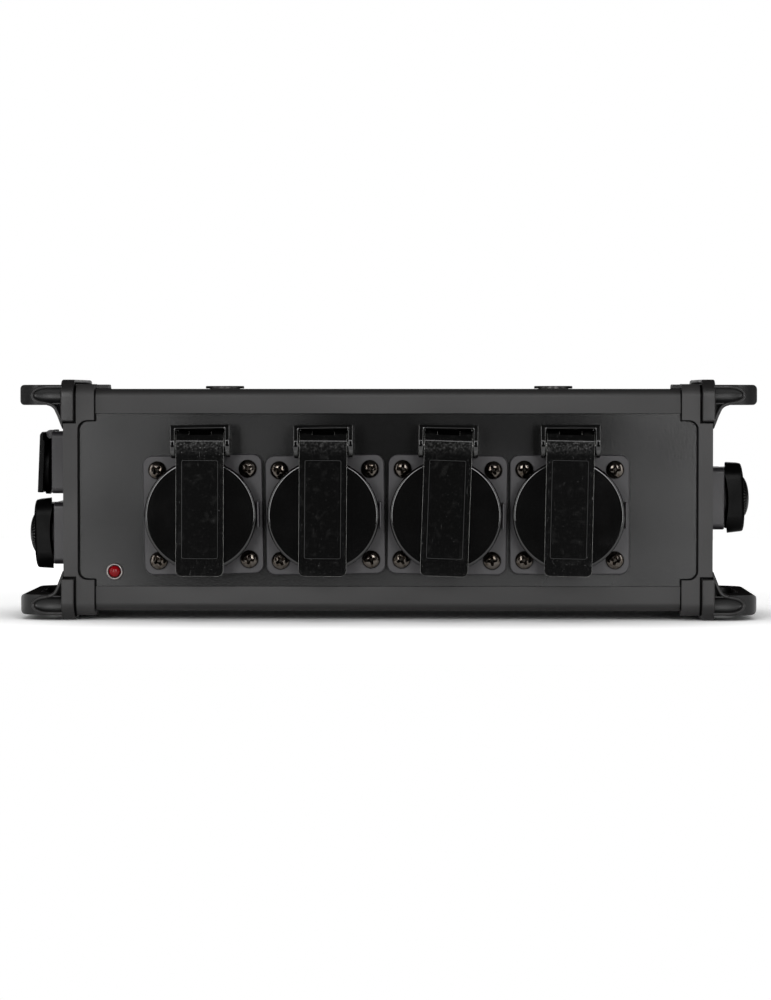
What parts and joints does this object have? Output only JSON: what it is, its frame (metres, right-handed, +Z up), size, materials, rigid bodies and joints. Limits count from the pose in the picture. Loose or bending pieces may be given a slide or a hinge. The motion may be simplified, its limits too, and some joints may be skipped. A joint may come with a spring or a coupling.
{
  "type": "power splitter box",
  "caption": "Stage power splitter: a black aluminium box with sprung-lid sockets along its front, capped side connectors, an indicator lamp, and bail-shaped corner bumpers.",
  "frame": {"origin": "centre of the box's footprint, on the surface that it stands on", "axes": "+X along the box's length towards the outlet's end, -Y out of the face with the sockets, +Z up"},
  "size_m": [0.3116, 0.092, 0.1012],
  "materials": {
    "coated_aluminium": "satin black powder coat on aluminium",
    "textured_coat": "fine-textured matte black powder coat",
    "cast_metal": "matte black coat on a die casting",
    "moulded_black": "matte black moulding",
    "black_steel": "blackened steel",
    "red_lens": "clear red, glossy",
    "bright_ring": "bright plating",
    "grey_thermoplastic": "satin dark grey",
    "gloss_black": "polished black with worn pull straps",
    "steel": "plain bright steel",
    "screw_metal": "dark nickel plating",
    "brown_core": "brown insulation",
    "blue_core": "blue insulation",
    "green_core": "green and yellow insulation"
  },
  "bodies": {
    "box": {"housing_extrusion": "coated_aluminium", "front_panel": "textured_coat", "end_panel_left": "textured_coat", "end_panel_right": "textured_coat", "end_frame_left": "cast_metal", "end_frame_right": "cast_metal", "bumper_left_upper": "moulded_black", "bumper_left_lower": "moulded_black", "bumper_right_upper": "moulded_black", "bumper_right_lower": "moulded_black", "link_cable": "moulded_black", "clamp_insert_left": "black_steel", "clamp_insert_right": "black_steel", "indicator_lens": "red_lens", "indicator_bezel": "bright_ring", "upper_inlet_body": "grey_thermoplastic", "lower_inlet_body": "grey_thermoplastic", "outlet_body": "grey_thermoplastic", "upper_inlet_cap_pin": "steel", "lower_inlet_cap_pin": "steel", "outlet_cap_pin": "steel", "earth_stud": "steel", "live_lead": "brown_core", "neutral_lead": "blue_core", "earth_lead": "green_core", "socket_1_body": "grey_thermoplastic", "socket_1_hinge_pin": "steel", "socket_1_hinge_spring": "steel", "socket_1_screw_1": "screw_metal", "socket_1_screw_2": "screw_metal", "socket_1_screw_3": "screw_metal", "socket_1_screw_4": "screw_metal", "socket_2_body": "grey_thermoplastic", "socket_2_hinge_pin": "steel", "socket_2_hinge_spring": "steel", "socket_2_screw_1": "screw_metal", "socket_2_screw_2": "screw_metal", "socket_2_screw_3": "screw_metal", "socket_2_screw_4": "screw_metal", "socket_3_body": "grey_thermoplastic", "socket_3_hinge_pin": "steel", "socket_3_hinge_spring": "steel", "socket_3_screw_1": "screw_metal", "socket_3_screw_2": "screw_metal", "socket_3_screw_3": "screw_metal", "socket_3_screw_4": "screw_metal", "socket_4_body": "grey_thermoplastic", "socket_4_hinge_pin": "steel", "socket_4_hinge_spring": "steel", "socket_4_screw_1": "screw_metal", "socket_4_screw_2": "screw_metal", "socket_4_screw_3": "screw_metal", "socket_4_screw_4": "screw_metal"},
    "socket_1_lid": {"socket_1_lid": "gloss_black"},
    "socket_2_lid": {"socket_2_lid": "gloss_black"},
    "socket_3_lid": {"socket_3_lid": "gloss_black"},
    "socket_4_lid": {"socket_4_lid": "gloss_black"},
    "upper_inlet_cap": {"upper_inlet_cap": "moulded_black"},
    "lower_inlet_cap": {"lower_inlet_cap": "moulded_black"},
    "outlet_cap": {"outlet_cap": "moulded_black"}
  },
  "joints": [
    {"name": "socket_1_lid_hinge", "type": "hinge", "parent": "box", "child": "socket_1_lid", "pos_m": [-0.07782, -0.04022, 0.07429], "axis": [-0.9998, 0, -0.0175], "range_deg": [0, 100], "stiffness_Nm_per_rad": 0.008, "springref_deg": -34.38},
    {"name": "socket_2_lid_hinge", "type": "hinge", "parent": "box", "child": "socket_2_lid", "pos_m": [-0.02652, -0.04022, 0.0743], "axis": [-0.9999, 0, -0.014], "range_deg": [0, 100], "stiffness_Nm_per_rad": 0.008, "springref_deg": -34.38},
    {"name": "socket_3_lid_hinge", "type": "hinge", "parent": "box", "child": "socket_3_lid", "pos_m": [0.02552, -0.04022, 0.0743], "axis": [-0.9999, 0, 0.014], "range_deg": [0, 100], "stiffness_Nm_per_rad": 0.008, "springref_deg": -34.38},
    {"name": "socket_4_lid_hinge", "type": "hinge", "parent": "box", "child": "socket_4_lid", "pos_m": [0.0763, -0.04022, 0.0743], "axis": [-1, 0, 0], "range_deg": [0, 100], "stiffness_Nm_per_rad": 0.008, "springref_deg": -34.38},
    {"name": "upper_inlet_cap_hinge", "type": "hinge", "parent": "box", "child": "upper_inlet_cap", "pos_m": [-0.14495, 0.00598, 0.0779], "axis": [0, 1, 0], "range_deg": [0, 100]},
    {"name": "lower_inlet_cap_hinge", "type": "hinge", "parent": "box", "child": "lower_inlet_cap", "pos_m": [-0.14495, 0.02028, 0.0357], "axis": [0, 0, -1], "range_deg": [0, 110]},
    {"name": "outlet_cap_hinge", "type": "hinge", "parent": "box", "child": "outlet_cap", "pos_m": [0.14495, 0.02028, 0.0506], "axis": [0, 0, 1], "range_deg": [0, 110]}
  ]
}
